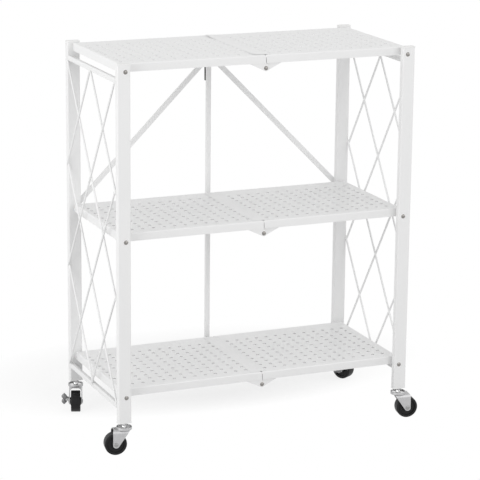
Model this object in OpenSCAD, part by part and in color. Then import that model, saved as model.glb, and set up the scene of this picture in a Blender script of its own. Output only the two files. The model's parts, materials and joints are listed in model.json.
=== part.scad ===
// Folding three-tier rolling shelf rack, in millimetres.
// The origin is on the floor under the middle of the rack. X runs to the right, Y to the back, Z up.

/* [End frames] */
// Width over the outer faces of the end frames
frame_span = 710; // [600:1:900]
// Depth over the front and rear faces of the posts
frame_depth = 345; // [330:1:420]
// Length of a post tube
post_len = 799; // [795:1:900]
// Width of a post tube, along X
post_w = 30; // [28:0.5:40]
// Depth of a post tube, along Y
post_d = 15; // [13:0.5:22]
// Wall of a post tube
post_wall = 1.2; // [0.8:0.1:2]
// Outside corner radius of a post tube
post_corner = 2.5; // [2:0.1:4]
// Thickness of a cap above the post
cap_t = 3; // [2:0.5:6]
// Overhang of caps and inserts past the post
cap_lip = 0.5; // [0:0.1:1]
// Depth of the cap's plug in the post
cap_plug = 9; // [5:1:12]
// Height of the bottom crossbar above the post's foot
low_bar_up = 31; // [28:1:34]
// Distance of the top crossbar below the post's top
high_bar_down = 29; // [27:1:40]
// Width of a crossbar, along X
bar_x = 9; // [6:0.5:9]
// Height of a crossbar
bar_z = 11.5; // [8:0.5:12]
// Wall of a crossbar
bar_wall = 1; // [0.8:0.1:1.5]
// Radius of a lattice wire
wire_r = 2.3; // [1.6:0.1:2.3]
// Depth of the inner wires' axis below the frame's outer face
wire_inset = 0.6; // [0.4:0.1:0.7]
// Distance between the two wire layers
wire_layer = 2.7; // [2.4:0.1:2.8]
// Number of lattice levels between the crossbars
lattice_levels = 3; // [2:1:5]

/* [Pivots] */
// Distance of the shelf pivots from the frame's outer face
pivot_inset = 18.5; // [17:0.5:20]
// Height of the bottom shelf's pivots above the post's foot
bottom_pivot_up = 57; // [54:1:90]
// Height of the middle shelf's pivots above the post's foot
mid_pivot_up = 411; // [380:1:430]
// Distance of the top shelf's pivots below the post's top
top_pivot_down = 14.5; // [13:0.5:19]
// Radius of every rivet shank
rivet_r = 3; // [2.5:0.1:3.2]
// Radius of a rivet's domed head
rivet_head_r = 5; // [4.5:0.1:6]
// Height of a rivet's domed head
rivet_head_h = 1.8; // [1.2:0.1:2]
// Radius of a rivet's flared tail
rivet_tail_r = 4.5; // [4:0.1:5]
// Height of a rivet's flared tail
rivet_tail_h = 1.5; // [1:0.1:2]
// Radius of a pivot's spacer bush
washer_r = 6; // [5:0.5:7]
// Gap between a post and the shelf beside it, filled by the pivot's spacer bush
side_gap = 7.5; // [2:0.1:10]

/* [Shelves] */
// Thickness of the shelf sheet
sheet = 0.9; // [0.6:0.1:1.2]
// Outside radius of the shelf's bent edges
bend_r = 3; // [2:0.5:4]
// Height of the shelf's top above its pivots
shelf_rise = 14.5; // [12:0.5:14.5]
// Depth of the skirt below the pivots
skirt_drop = 4; // [4:0.5:5]
// Reach of the shelf's outer end past its pivots
end_reach = 6.5; // [5:0.5:7]
// Gap between the two halves of a shelf
seam_gap = 1.5; // [1:0.1:4]
// Diameter of a shelf hole
hole_d = 8; // [5:0.5:10]
// Spacing of the columns of holes
hole_pitch = 25; // [18:0.5:25]
// Spacing of the rows of holes
row_pitch = 24.5; // [18:0.5:25]
// Distance of the rows' middle from the shelf's middle, towards the front
row_shift = 12; // [0:0.5:14]
// Columns of holes in a shelf half
hole_columns = 13; // [8:1:13]
// Rows of holes in a shelf
hole_rows = 10; // [6:1:10]
// Distance of the first column of holes from the seam in the left half
left_hole_start = 29; // [12:0.5:30]
// Distance of the first column of holes from the seam in the right half
right_hole_start = 18; // [12:0.5:30]
// Radius of the bend relief at the ends of the seam
relief_r = 2.4; // [1.5:0.1:3]
// Depth of the bend relief
relief_h = 6; // [3:0.5:7]
// Radius of the lug round a shelf pivot
lug_r = 8; // [6:0.5:8]
// Thickness of a lug
lug_t = 1.5; // [1:0.1:2]

/* [Seam hinges] */
// Depth of the hinge axis below the shelf pivots
hinge_drop = 15; // [13:0.5:16]
// Radius of the hinge plate's tip
tip_r = 7; // [6:0.5:8]
// Thickness of a hinge plate
plate_t = 1.5; // [1:0.1:2]
// Reach of a hinge plate from the seam
plate_reach = 39; // [30:1:45]
// Height to which a hinge plate laps the skirt above the pivots
plate_lap = 6; // [4:0.5:8]
// Distance of the packing pad from the seam
pad_start = 14; // [12:0.5:16]
// Distance of a hinge plate's upper edge from the seam
plate_start = 3; // [2.8:0.1:5]

/* [Rear linkage] */
// Width of the lift bar
lift_w = 12; // [10:0.5:14]
// Depth of the lift bar
lift_d = 7; // [5:0.5:9]
// Wall of the lift bar
lift_wall = 1.2; // [0.8:0.1:1.5]
// Overrun of the lift bar past its end hinges
lift_overrun = 8; // [7:0.5:8]
// Radius of a spacer sleeve on the long hinge pins
sleeve_r = 4.5; // [4:0.1:5]
// Width of a brace
brace_w = 12; // [9:0.5:14]
// Thickness of a brace
brace_t = 3.5; // [2:0.1:4]
// Radius of a brace's rounded ends
brace_end_r = 8; // [6.5:0.5:8]
// Gap between a post and the brace behind it
brace_gap = 0.8; // [0.4:0.1:1.5]
// Distance of a brace's upper pivot from the middle
brace_top_x = 9; // [8.5:0.5:12]
// Distance of the braces' upper pivots below the top shelf's pivots
brace_top_down = 45.5; // [45.5:0.5:64]
// Width of the slider bracket
bracket_w = 36; // [34:1:44]
// Reach of the slider bracket below the braces' upper pivots
bracket_below = 15; // [10:1:20]
// Reach of the slider bracket above the braces' upper pivots
bracket_above = 13; // [10:1:15]
// Thickness of the slider bracket's sheet
bracket_t = 1.5; // [1:0.1:2]
// Gap between a brace and the slider bracket
bracket_gap = 1.1; // [0.6:0.1:2]
// Width of the slider block
block_w = 16; // [16:0.5:24]
// Depth of the slider block
block_d = 6; // [4:0.5:8]
// Reach of the slider block below its bracket
block_drop = 38; // [20:1:60]

/* [Casters] */
// Radius of a wheel
wheel_r = 25; // [25:0.5:32]
// Width of a wheel's tread
tread_w = 20; // [16:0.5:22]
// Radius of the tread's rounded edges
tread_round = 2; // [1:0.5:6]
// Radial depth of a wheel's rim
rim_depth = 8; // [6:0.5:10]
// Width of a wheel's web
web_w = 15; // [8:0.5:16]
// Width of a wheel's hub
hub_w = 26; // [22:0.5:26]
// Radius of a wheel's hub
hub_r = 9.5; // [8:0.5:12]
// Trail of the axle behind the swivel axis
trail = 20; // [18:0.5:22]
// Radius of an axle
axle_r = 4; // [3:0.1:4.5]
// Radius of an axle's end heads
axle_head_r = 5.5; // [5:0.1:6]
// Thickness of an axle's end heads
axle_head_h = 1.3; // [0.8:0.1:1.4]
// Space between the two legs of a fork
fork_gap = 27; // [27:0.5:30]
// Thickness of a fork's sheet
fork_t = 2; // [1.5:0.1:2.5]
// Radius of a fork leg's lower end
leg_end_r = 7.5; // [7.5:0.1:9]
// Reach of a fork leg's top ahead of the swivel axis
leg_lead = 12; // [8:0.5:14]
// Reach of a fork leg's top behind the swivel axis
leg_tail = 27; // [27:0.5:30]
// Gap between a wheel and the fork's crown
crown_gap = 7; // [6:0.5:10]
// Thickness of a fork's crown
crown_t = 2.5; // [2:0.1:3]
// Radius of the ring round a fork's crown
crown_r = 17.5; // [17.5:0.5:20]
// Height of the ring above the crown
ring_up = 2; // [1:0.1:3]
// Radius of the dish inside the ring
dish_r = 15.3; // [15:0.1:16]
// Radius of a kingpin
kingpin_r = 4; // [3:0.1:5]
// Radius of a kingpin's head
kingpin_head_r = 7; // [6:0.1:7]
// Height of a kingpin's head
kingpin_head_h = 4; // [2:0.1:4]
// Radius of the race in the fork's dish
race_r = 14.5; // [12:0.5:14.5]
// Radius of the race's upper end
race_top_r = 8; // [7.8:0.1:10]
// Height of the race's straight lower wall
race_wall_h = 1; // [0.5:0.1:3]
// Height of the race
race_h = 5.7; // [4:0.1:8]
// Width of the lock nut across its flats
nut_w = 13; // [11:0.5:13.5]
// Height of the lock nut
nut_h = 5.5; // [3:0.5:6]
// Radius of a caster's stem
stem_r = 4; // [3:0.1:5]
// Length of a caster's stem above its lock nut
stem_len = 27; // [20:1:28]
// Thickness of the insert's flange under a post
insert_flange = 2; // [1:0.5:4]
// Depth of the insert's plug in a post
insert_plug = 30; // [29:1:40]

/* [Brakes] */
// Radius of a brake pin
brake_pin_r = 2; // [1.5:0.1:2.2]
// Height of the brake pin above the axle
brake_pin_up = 6; // [5:0.5:8]
// Radius of the lever's eye round its pin
eye_r = 3.5; // [3:0.1:3.5]
// Thickness of a fork ear that holds the pin
ear_t = 1.5; // [1:0.1:1.6]
// Radius of a fork ear's end
ear_r = 3.2; // [2.8:0.1:3.5]
// Width of a lever's prongs along the pin
prong_w = 18; // [14:0.5:20]
// Thickness of a prong
prong_t = 5; // [3:0.1:6]
// Distance from the pin at which the prongs widen
prong_root = 5.2; // [5:0.1:7]
// Reach of the prongs outward from the pin
prong_out = 9.3; // [8:0.1:14]
// Height of the upper prong's tip above the pin
prong_up = 11; // [8:0.5:12]
// Depth of the lower prong's tip below the pin
prong_down = 10; // [8:0.5:11]

/* [Swivel angles] */
// Heading of the front left caster's trail
front_left_heading = 170; // [-180:0.5:180]
// Heading of the front right caster's trail
front_right_heading = -10; // [-180:0.5:180]
// Heading of the rear left caster's trail
rear_left_heading = -109.5; // [-180:0.5:180]
// Heading of the rear right caster's trail
rear_right_heading = -60; // [-180:0.5:180]

/* [Fits] */
// Radial clearance of a pin that turns in its hole
run_clear = 0.06; // [0.02:0.01:0.1]
// Radial clearance of a pin that is fixed in its hole
fixed_clear = 0.05; // [0.02:0.01:0.1]
// Clearance of a plug in its tube
plug_clear = 0.1; // [0.05:0.05:0.2]
// Gap between flat faces that turn past each other
face_gap = 0.2; // [0.1:0.05:0.3]
// Gap between the slider and the lift bar
slide_clear = 0.3; // [0.2:0.05:0.5]

/* [Hidden] */
$fn = 48;
left = -1;
right = 1;
front = -1;
rear = 1;
over = 1;

// Heights of the caster stack, from the floor up to the post's foot
crown_z = 2 * wheel_r + crown_gap;
race_z = crown_z + crown_t + slide_clear;
nut_z = race_z + race_h;
flange_z = nut_z + nut_h;
post_foot = flange_z + insert_flange;
post_top = post_foot + post_len;

// Places of the end frames
face_x = frame_span / 2;
post_x = face_x - post_w / 2;
post_y = (frame_depth - post_d) / 2;
post_in_y = frame_depth / 2 - post_d;
post_out_y = frame_depth / 2;
low_bar_z = post_foot + low_bar_up;
high_bar_z = post_top - high_bar_down - bar_z;
lattice_bottom = low_bar_z + bar_z;
lattice_top = high_bar_z;
lattice_step = (lattice_top - lattice_bottom) / lattice_levels;
wire_x = face_x - wire_inset;

// Places of the pivots and the shelves
pivot_x = face_x - pivot_inset;
bottom_z = post_foot + bottom_pivot_up;
mid_z = post_foot + mid_pivot_up;
top_z = post_top - top_pivot_down;
shelf_y = post_in_y - side_gap;
washer_t = side_gap - face_gap;
skirt_in_y = shelf_y - sheet;
shelf_end_x = pivot_x + end_reach;
lug_in_y = skirt_in_y - lug_t;
seam_x = seam_gap / 2;

// Layers of the seam hinges, from the skirt inward
plate_in_y = skirt_in_y - plate_t;
packed_out_y = plate_in_y - face_gap;
packed_in_y = packed_out_y - plate_t;

// Layers of the rear linkage, from the posts backward
brace_y = post_out_y + brace_gap;
brace_back_y = brace_y + brace_t;
bracket_y = brace_back_y + bracket_gap;
bracket_back_y = bracket_y + bracket_t;
lift_y = bracket_back_y + slide_clear;
lift_back_y = lift_y + lift_d;
block_y = lift_back_y + slide_clear;
brace_top_z = top_z - brace_top_down;
cheek_x = lift_w / 2 + slide_clear;

// Places on a caster, with the trail along X and the brake on the -Y side
leg_y = fork_gap / 2;
leg_out_y = leg_y + fork_t;
axle_end_y = leg_out_y + face_gap + axle_head_h;
brake_y = axle_end_y + slide_clear + eye_r;
brake_z = wheel_r + brake_pin_up;
eye_from = trail - axle_head_r;
eye_to = trail + axle_head_r;
ear_from = eye_from - face_gap - ear_t;
ear_to = eye_to + face_gap + ear_t;

// Point on a circle at an angle
function around(centre, r, angle) = centre + r * [cos(angle), sin(angle)];

// Angle from one point to another
function bearing(from, to) = atan2(to[1] - from[1], to[0] - from[0]);

// Point where a line from a point outside touches a circle, on the side named by +1 or -1
function touch(point, centre, r, side) =
    around(centre, r, bearing(centre, point) + side * acos(r / norm(point - centre)));

// Solid of an XZ outline between two places along Y
module across_y(y0, y1) {
    translate([0, y1, 0]) rotate([90, 0, 0]) linear_extrude(y1 - y0) children();
}

// Solid of a YZ outline between two places along X
module across_x(x0, x1) {
    translate([x0, 0, 0]) rotate([90, 0, 90]) linear_extrude(x1 - x0) children();
}

// Round rod along Y at a place in the XZ plane
module rod_y(x, z, r, y0, y1) {
    translate([x, y0, z]) rotate([-90, 0, 0]) cylinder(r = r, h = y1 - y0);
}

// Rectangle about the origin with round corners
module round_rect(w, d, r) {
    square([w, d - 2 * r], center = true);
    square([w - 2 * r, d], center = true);
    for (x = [-1, 1], y = [-1, 1])
        translate([x * (w / 2 - r), y * (d / 2 - r)]) circle(r);
}

// Strap whose ends are round about two points
module strap(p, p_r, q, q_r) {
    swing = acos((p_r - q_r) / norm(q - p));
    heading = bearing(p, q);
    polygon([
        around(p, p_r, heading + swing),
        around(q, q_r, heading + swing),
        around(q, q_r, heading - swing),
        around(p, p_r, heading - swing)
    ]);
    translate(p) circle(p_r);
    translate(q) circle(q_r);
}

// Flat of one width from point to point, with square ends
module flat(p, q, w) {
    translate(p) rotate(bearing(p, q)) translate([0, -w / 2]) square([norm(q - p), w]);
}

// Shallow dome standing on the XY plane
module dome(r, h) {
    ball_r = (r * r + h * h) / (2 * h);
    rotate_extrude() intersection() {
        translate([0, h - ball_r]) circle(ball_r);
        square([r, h]);
    }
}

// Rivet along Y, with its dome at the outer end and its flared tail at the inner end
module rivet(x, z, inner_y, outer_y) {
    rod_y(x, z, rivet_r, inner_y, outer_y);
    rod_y(x, z, rivet_tail_r, inner_y - rivet_tail_h, inner_y);
    translate([x, outer_y, z]) rotate([-90, 0, 0]) dome(rivet_head_r, rivet_head_h);
}

// Copy of a shape built at the rear, on the front or the rear side
module on_side(side) {
    if (side == front) mirror([0, 1, 0]) children();
    else children();
}

// Copy of a shape built on the right, on the left or the right hand
module on_hand(hand) {
    if (hand == left) mirror([1, 0, 0]) children();
    else children();
}

// Post tube with its three pivot holes
module post(hand, side) {
    color("white") on_hand(hand) on_side(side) difference() {
        translate([post_x, post_y, post_foot]) linear_extrude(post_len) difference() {
            round_rect(post_w, post_d, post_corner);
            round_rect(post_w - 2 * post_wall, post_d - 2 * post_wall, post_corner - post_wall);
        }
        for (z = [bottom_z, mid_z, top_z])
            rod_y(pivot_x, z, rivet_r + fixed_clear, post_in_y - over, post_out_y + over);
    }
}

// Top and bottom crossbars of an end frame
module crossbars(hand) {
    color("white") on_hand(hand) for (z = [low_bar_z, high_bar_z])
        translate([face_x - bar_x, -post_in_y, z]) difference() {
            cube([bar_x, 2 * post_in_y, bar_z]);
            translate([bar_wall, -over, bar_wall])
                cube([bar_x - 2 * bar_wall, 2 * (post_in_y + over), bar_z - 2 * bar_wall]);
        }
}

// One wire that falls from the back to the front, through a place at the lattice's top line
module falling_wire(x, top_y) {
    step_y = post_in_y;
    slope_len = norm([step_y, lattice_step]);
    reach = (lattice_levels + 1) * slope_len;
    translate([x, top_y, lattice_top])
        rotate([-atan2(step_y, lattice_step), 0, 0])
            translate([0, 0, -reach]) cylinder(r = wire_r, h = 2 * reach);
}

// Parallel wires of one lean, cut off at the posts and the crossbars
module wires(hand, lean) {
    x = lean == front ? wire_x : wire_x + wire_layer;
    color("white") on_hand(hand) on_side(-lean) intersection() {
        union() {
            for (i = [0 : lattice_levels])
                falling_wire(x, i * post_in_y);
        }
        translate([x - over - wire_r, -post_in_y, lattice_bottom])
            cube([2 * (wire_r + over), 2 * post_in_y, lattice_top - lattice_bottom]);
    }
}

// Caps in the post tops
module post_caps(hand) {
    color("whitesmoke") on_hand(hand) for (side = [front, rear])
        on_side(side) translate([post_x, post_y, post_top]) {
            linear_extrude(cap_t)
                round_rect(post_w + 2 * cap_lip, post_d + 2 * cap_lip, post_corner);
            translate([0, 0, -cap_plug]) linear_extrude(cap_plug) post_bore();
        }
}

// Outline that fits inside a post tube
module post_bore() {
    shrink = 2 * (post_wall + plug_clear);
    round_rect(post_w - shrink, post_d - shrink, post_corner - post_wall);
}

// Inserts in the post feet, bored for the caster stems
module caster_inserts(hand) {
    color("whitesmoke") on_hand(hand) for (side = [front, rear])
        on_side(side) translate([post_x, post_y, post_foot]) difference() {
            union() {
                translate([0, 0, -insert_flange]) linear_extrude(insert_flange)
                    round_rect(post_w + 2 * cap_lip, post_d + 2 * cap_lip, post_corner);
                linear_extrude(insert_plug) post_bore();
            }
            translate([0, 0, -insert_flange - over])
                cylinder(r = stem_r + fixed_clear, h = insert_flange + insert_plug + 2 * over);
        }
}

// Caster stems, each with its lock nut, its race and its kingpin
module caster_stems(hand) {
    color("silver") on_hand(hand) for (side = [front, rear])
        on_side(side) translate([post_x, post_y, 0]) {
            translate([0, 0, nut_z]) cylinder(r = stem_r, h = nut_h + stem_len);
            translate([0, 0, nut_z]) cylinder(d = nut_w / cos(30), h = nut_h, $fn = 6);
            rotate_extrude() polygon([
                [0, race_z], [race_r, race_z], [race_r, race_z + race_wall_h],
                [race_top_r, race_z + race_h], [0, race_z + race_h]
            ]);
            translate([0, 0, crown_z - face_gap]) cylinder(r = kingpin_r, h = race_z - crown_z + over);
            translate([0, 0, crown_z - face_gap - kingpin_head_h])
                cylinder(r = kingpin_head_r, h = kingpin_head_h);
        }
}

// Rivets on which the shelves turn. The rear middle ones also carry the braces
module pivot_rivets(hand) {
    inner_y = lug_in_y - face_gap;
    color("dimgray") on_hand(hand) for (side = [front, rear], z = [bottom_z, mid_z, top_z]) {
        carries_brace = side == rear && z == mid_z;
        on_side(side)
            rivet(pivot_x, z, inner_y, carries_brace ? brace_back_y + face_gap : post_out_y);
    }
}

// Spacer bushes between the posts and the shelves
module pivot_washers(hand) {
    washer_y = shelf_y + face_gap / 2;
    color("gainsboro") on_hand(hand) for (side = [front, rear], z = [bottom_z, mid_z, top_z])
        on_side(side) difference() {
            rod_y(pivot_x, z, washer_r, washer_y, washer_y + washer_t);
            rod_y(pivot_x, z, rivet_r + run_clear, washer_y - over, washer_y + washer_t + over);
        }
}

// Rectangle between two corners with its two upper corners round
module round_top(x0, x1, z0, z1, r) {
    translate([x0, z0]) square([x1 - x0, z1 - z0 - r]);
    translate([x0 + r, z0]) square([x1 - x0 - 2 * r, z1 - z0]);
    for (x = [x0 + r, x1 - r])
        translate([x, z1 - r]) circle(r);
}

// Block with all four upper edges round, shrunk by a margin on its sides and top
module tray_block(pivot_z, margin, bottom_z) {
    x0 = seam_x + margin;
    x1 = shelf_end_x - margin;
    y1 = shelf_y - margin;
    z1 = pivot_z + shelf_rise - margin;
    intersection() {
        across_y(-y1, y1) round_top(x0, x1, bottom_z, z1, bend_r - margin);
        across_x(x0, x1) round_top(-y1, y1, bottom_z, z1, bend_r - margin);
    }
}

// Tray half with bent skirts, rows of holes, bend reliefs at the seam and lugs at its pivots
module shelf(hand, pivot_z) {
    skirt_z = pivot_z - skirt_drop;
    color("white") on_hand(hand) difference() {
        union() {
            difference() {
                tray_block(pivot_z, 0, skirt_z);
                tray_block(pivot_z, sheet, skirt_z - over);
            }
            for (side = [front, rear]) on_side(side) pivot_lug(pivot_z);
        }
        translate([0, 0, pivot_z + shelf_rise - sheet - over]) linear_extrude(sheet + 2 * over)
            shelf_holes(hand == left ? left_hole_start : right_hole_start);
        for (side = [front, rear]) on_side(side)
            translate([seam_x, shelf_y - bend_r, pivot_z + shelf_rise - relief_h])
                cylinder(r = relief_r, h = relief_h + over);
        rod_y(pivot_x, pivot_z, rivet_r + run_clear, -shelf_y - over, shelf_y + over);
    }
}

// Plan of a shelf half's holes, from its first column
module shelf_holes(start) {
    for (i = [0 : hole_columns - 1], j = [0 : hole_rows - 1])
        translate([start + i * hole_pitch, (j - (hole_rows - 1) / 2) * row_pitch - row_shift])
            circle(d = hole_d);
}

// Lug behind the skirt, round a shelf pivot
module pivot_lug(pivot_z) {
    across_y(lug_in_y, skirt_in_y) {
        translate([pivot_x, pivot_z]) circle(lug_r);
    }
}

// Outline of the right hand hinge plate, as a tab that narrows to the hinge axis
module hinge_tab(pivot_z) {
    axis = [0, pivot_z - hinge_drop];
    low_corner = [plate_reach, pivot_z - skirt_drop];
    near_corner = [plate_start, pivot_z - skirt_drop];
    polygon([
        low_corner,
        [plate_reach, pivot_z + plate_lap],
        [plate_start, pivot_z + plate_lap],
        near_corner,
        touch(near_corner, axis, tip_r, 1),
        axis,
        touch(low_corner, axis, tip_r, -1)
    ]);
    translate(axis) circle(tip_r);
}

// Hinge plates of a shelf half. The right half's stand inside the left half's, on packing pads
module hinge_plates(hand, pivot_z) {
    packed = hand == right;
    inner_y = packed ? packed_in_y : plate_in_y;
    outer_y = packed ? packed_out_y : skirt_in_y;
    pin_clear = packed ? run_clear : fixed_clear;
    color("white") on_hand(hand) for (side = [front, rear]) on_side(side) {
        difference() {
            across_y(inner_y, outer_y) hinge_tab(pivot_z);
            rod_y(0, pivot_z - hinge_drop, rivet_r + pin_clear, inner_y - over, outer_y + over);
        }
        if (packed)
            translate([pad_start, packed_out_y, pivot_z - skirt_drop])
                cube([plate_reach - pad_start, skirt_in_y - packed_out_y, skirt_drop + plate_lap]);
    }
}

// Seam hinge rivets of one shelf, short at the front and long enough for the lift bar at the rear
module hinge_rivets(pivot_z) {
    z = pivot_z - hinge_drop;
    inner_y = packed_in_y - face_gap;
    color("dimgray") {
        on_side(front) rivet(0, z, inner_y, skirt_in_y);
        on_side(rear) rivet(0, z, inner_y, lift_back_y + face_gap);
    }
}

// Vertical tube behind the rack that ties the three seam hinges together
module lift_bar() {
    low_z = bottom_z - hinge_drop - lift_overrun;
    high_z = top_z - hinge_drop + lift_overrun;
    color("white") difference() {
        translate([-lift_w / 2, lift_y, low_z]) cube([lift_w, lift_d, high_z - low_z]);
        translate([-lift_w / 2 + lift_wall, lift_y + lift_wall, low_z - over])
            cube([lift_w - 2 * lift_wall, lift_d - 2 * lift_wall, high_z - low_z + 2 * over]);
        for (z = [bottom_z, mid_z, top_z])
            rod_y(0, z - hinge_drop, rivet_r + run_clear, lift_y - over, lift_back_y + over);
    }
}

// Sleeves on the long hinge pins, between the hinge plates and the lift bar
module lift_bar_spacers() {
    color("silver") for (z = [bottom_z, mid_z, top_z]) difference() {
        rod_y(0, z - hinge_drop, sleeve_r, skirt_in_y + face_gap, lift_y - face_gap);
        rod_y(0, z - hinge_drop, rivet_r + run_clear, skirt_in_y, lift_y);
    }
}

// Bracket that slides on the lift bar, with a face plate and two cheeks
module slider_bracket() {
    low_z = brace_top_z - bracket_below;
    height = bracket_below + bracket_above;
    color("white") {
        translate([-bracket_w / 2, bracket_y, low_z]) cube([bracket_w, bracket_t, height]);
        for (hand = [left, right]) on_hand(hand) translate([cheek_x, bracket_y, low_z])
            cube([bracket_t, block_y - bracket_y, height]);
    }
}

// Block behind the lift bar that closes the slider
module slider_block() {
    low_z = brace_top_z - bracket_below - block_drop;
    color("#222222") translate([-block_w / 2, block_y, low_z])
        cube([block_w, block_d, block_drop + bracket_below + bracket_above]);
}

// Diagonal brace from the rear middle rivet up to the slider
module brace(hand) {
    foot = [pivot_x, mid_z];
    head = [brace_top_x, brace_top_z];
    color("white") on_hand(hand) difference() {
        across_y(brace_y, brace_back_y) {
            flat(foot, head, brace_w);
            for (p = [foot, head])
                translate(p) circle(brace_end_r);
        }
        rod_y(foot[0], foot[1], rivet_r + run_clear, brace_y - over, brace_back_y + over);
        rod_y(head[0], head[1], rivet_r + fixed_clear, brace_y - over, brace_back_y + over);
    }
}

// Stud in a brace's upper end, headed towards the front
module brace_stud(hand) {
    color("dimgray") on_hand(hand) {
        rod_y(brace_top_x, brace_top_z, rivet_r, brace_y, bracket_y - face_gap);
        translate([brace_top_x, brace_y, brace_top_z]) rotate([90, 0, 0])
            dome(rivet_head_r, rivet_head_h);
    }
}

// Caster part at its post, turned to its heading
module at_caster(hand, side, heading) {
    translate([hand * post_x, side * post_y, 0]) rotate([0, 0, heading]) children();
}

// Side view of a fork's leg, which narrows from the crown to the axle
module leg_outline() {
    axle = [trail, wheel_r];
    lead = [-leg_lead, crown_z];
    tail = [leg_tail, crown_z];
    polygon([
        [leg_tail, crown_z + crown_t],
        [-leg_lead, crown_z + crown_t],
        lead,
        touch(lead, axle, leg_end_r, 1),
        axle,
        touch(tail, axle, leg_end_r, -1),
        tail
    ]);
    translate(axle) circle(leg_end_r);
}

// Ears on a fork's leg that hold the brake pin
module brake_ears() {
    pin = [-brake_y, brake_z];
    root = [-leg_out_y, brake_z];
    for (x = [ear_from, ear_to - ear_t]) across_x(x, x + ear_t) difference() {
        intersection() {
            strap(pin, ear_r, root, ear_r + over);
            translate([-brake_y - ear_r, brake_z - 2 * ear_r])
                square([brake_y - leg_out_y + ear_r + fork_t / 2, 4 * ear_r]);
        }
        translate(pin) circle(brake_pin_r + fixed_clear);
    }
}

// Fork that swivels under its race, with ears for the brake where it has one
module fork(hand, side, heading) {
    color("silver") at_caster(hand, side, heading) {
        difference() {
            union() {
                translate([0, 0, crown_z]) cylinder(r = crown_r, h = crown_t + ring_up);
                translate([-leg_lead, -leg_out_y, crown_z])
                    cube([leg_lead + leg_tail, 2 * leg_out_y, crown_t]);
                for (y = [-leg_out_y, leg_y]) across_y(y, y + fork_t) leg_outline();
            }
            translate([0, 0, crown_z + crown_t]) cylinder(r = dish_r, h = ring_up + over);
            translate([0, 0, crown_z - over]) cylinder(r = kingpin_r + run_clear, h = crown_t + 2 * over);
            rod_y(trail, wheel_r, axle_r + fixed_clear, -leg_out_y - over, leg_out_y + over);
        }
        if (side == rear) brake_ears();
    }
}

// Half of a wheel's section, from the bore outwards
module wheel_section() {
    bore_r = axle_r + run_clear;
    difference() {
        union() {
            translate([0, -hub_w / 2]) square([hub_r, hub_w]);
            translate([0, -web_w / 2]) square([wheel_r - rim_depth + over, web_w]);
            translate([wheel_r - rim_depth, -tread_w / 2]) square([rim_depth - tread_round, tread_w]);
            translate([wheel_r - rim_depth, tread_round - tread_w / 2])
                square([rim_depth, tread_w - 2 * tread_round]);
            for (y = [-1, 1])
                translate([wheel_r - tread_round, y * (tread_w / 2 - tread_round)]) circle(tread_round);
        }
        translate([-over, -hub_w]) square([bore_r + over, 2 * hub_w]);
    }
}

// Wheel moulded in one piece with its hub
module wheel(hand, side, heading) {
    color("#1c1c1c") at_caster(hand, side, heading) translate([trail, 0, wheel_r])
        rotate([90, 0, 0]) rotate_extrude() wheel_section();
}

// Axle with a head outside each leg
module axle(hand, side, heading) {
    head_y = leg_out_y + face_gap;
    color("silver") at_caster(hand, side, heading) {
        rod_y(trail, wheel_r, axle_r, -head_y, head_y);
        rod_y(trail, wheel_r, axle_head_r, head_y, head_y + axle_head_h);
        rod_y(trail, wheel_r, axle_head_r, -head_y - axle_head_h, -head_y);
    }
}

// Pin of a brake lever
module brake_pin(hand, heading) {
    color("silver") at_caster(hand, rear, heading)
        translate([ear_from - over, -brake_y, brake_z]) rotate([0, 90, 0])
            cylinder(r = brake_pin_r, h = ear_to - ear_from + 2 * over);
}

// Side view of a brake lever, with its pin at the origin
module lever_outline() {
    circle(eye_r);
    for (rise = [prong_up, -prong_down]) {
        tip = [-prong_out, rise];
        flat([0, 0], tip, prong_t);
        translate(tip) circle(prong_t / 2);
    }
}

// Forked brake lever on its pin, cut back round the ears
module brake_lever(hand, heading) {
    prong_from = trail - prong_w / 2;
    cut_len = eye_from - prong_from + over;
    color("gray") at_caster(hand, rear, heading) translate([0, -brake_y, brake_z]) difference() {
        across_x(prong_from, prong_from + prong_w) lever_outline();
        for (x = [prong_from - over, eye_to])
            translate([x, 0, 0]) rotate([0, 90, 0]) cylinder(r = prong_root, h = cut_len);
        translate([prong_from, 0, 0]) rotate([0, 90, 0])
            cylinder(r = brake_pin_r + run_clear, h = prong_w);
    }
}

post(left, front);  // left_front_post
post(left, rear);  // left_rear_post
crossbars(left);  // left_crossbars
wires(left, front);  // left_wires_fore
wires(left, rear);  // left_wires_aft
post_caps(left);  // left_post_caps
caster_inserts(left);  // left_caster_inserts
caster_stems(left);  // left_caster_stems
pivot_rivets(left);  // left_pivot_rivets
pivot_washers(left);  // left_pivot_washers
post(right, front);  // right_front_post
post(right, rear);  // right_rear_post
crossbars(right);  // right_crossbars
wires(right, front);  // right_wires_fore
wires(right, rear);  // right_wires_aft
post_caps(right);  // right_post_caps
caster_inserts(right);  // right_caster_inserts
caster_stems(right);  // right_caster_stems
pivot_rivets(right);  // right_pivot_rivets
pivot_washers(right);  // right_pivot_washers
shelf(left, top_z);  // top_left_shelf
shelf(right, top_z);  // top_right_shelf
shelf(left, mid_z);  // mid_left_shelf
shelf(right, mid_z);  // mid_right_shelf
shelf(left, bottom_z);  // bottom_left_shelf
shelf(right, bottom_z);  // bottom_right_shelf
hinge_plates(left, top_z);  // top_left_hinge_plates
hinge_plates(right, top_z);  // top_right_hinge_plates
hinge_plates(left, mid_z);  // mid_left_hinge_plates
hinge_plates(right, mid_z);  // mid_right_hinge_plates
hinge_plates(left, bottom_z);  // bottom_left_hinge_plates
hinge_plates(right, bottom_z);  // bottom_right_hinge_plates
hinge_rivets(top_z);  // top_hinge_rivets
hinge_rivets(mid_z);  // mid_hinge_rivets
hinge_rivets(bottom_z);  // bottom_hinge_rivets
lift_bar();
lift_bar_spacers();
slider_bracket();
slider_block();
brace(left);  // left_brace
brace(right);  // right_brace
brace_stud(left);  // left_brace_stud
brace_stud(right);  // right_brace_stud
fork(left, front, front_left_heading);  // front_left_fork
wheel(left, front, front_left_heading);  // front_left_wheel
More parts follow.
